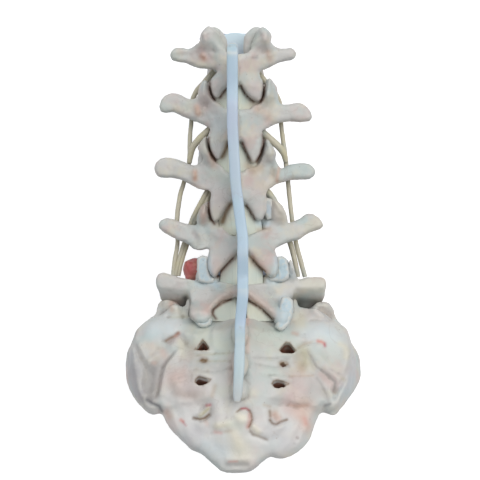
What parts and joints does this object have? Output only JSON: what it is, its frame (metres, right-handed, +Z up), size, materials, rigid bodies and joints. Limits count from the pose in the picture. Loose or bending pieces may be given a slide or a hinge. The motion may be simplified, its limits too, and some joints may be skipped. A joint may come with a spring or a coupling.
{
  "type": "spine anatomy model",
  "caption": "Lower spine teaching model: vertebrae stacked on the sacrum, with discs, a bulging red disc, ligament bands, facet cartilage and nerve roots, lying face down.",
  "frame": {"origin": "on the table, under the middle of the bounding box", "axes": "+Y along the spine to the head end, +Z up out of the model's back, +X to the right of someone who looks at its back"},
  "size_m": [0.135, 0.2582, 0.1036],
  "materials": {
    "bone": "cast bone colour, off-white with faint pink and cream blotches",
    "disc": "pale blue-grey soft plastic, satin",
    "prolapse": "red paint, slightly glossy",
    "cartilage": "pale blue, satin",
    "ligament": "pale blue strap, satin",
    "flavum": "pale cream-green, satin",
    "nerve": "cream-khaki soft cord"
  },
  "bodies": {
    "root": {"anterior_ligament": "ligament", "disc_l1_l2": "disc", "disc_l2_l3": "disc", "disc_l3_l4": "disc", "disc_l4_l5": "disc", "disc_l5_sacrum": "disc", "disc_t12_l1": "disc", "dural_sac": "nerve", "facet_cartilage_l3_l4_right": "cartilage", "facet_cartilage_l4_l5_left": "cartilage", "facet_cartilage_l4_l5_right": "cartilage", "facet_cartilage_l5_sacrum_left": "cartilage", "facet_cartilage_l5_sacrum_right": "cartilage", "flavum_l1_l2_left": "flavum", "flavum_l1_l2_right": "flavum", "flavum_l2_l3_left": "flavum", "flavum_l2_l3_right": "flavum", "flavum_l3_l4_left": "flavum", "flavum_l3_l4_right": "flavum", "flavum_l4_l5_left": "flavum", "flavum_l4_l5_right": "flavum", "flavum_l5_sacrum_left": "flavum", "flavum_l5_sacrum_right": "flavum", "nerve_l1_left": "nerve", "nerve_l1_right": "nerve", "nerve_l2_left": "nerve", "nerve_l2_right": "nerve", "nerve_l3_left": "nerve", "nerve_l3_right": "nerve", "posterior_ligament": "ligament", "prolapse_l4_l5": "prolapse", "sacrum": "bone", "supraspinous_ligament": "ligament", "vertebra_l1": "bone", "vertebra_l2": "bone", "vertebra_l3": "bone", "vertebra_l4": "bone", "vertebra_l5": "bone"}
  },
  "joints": []
}
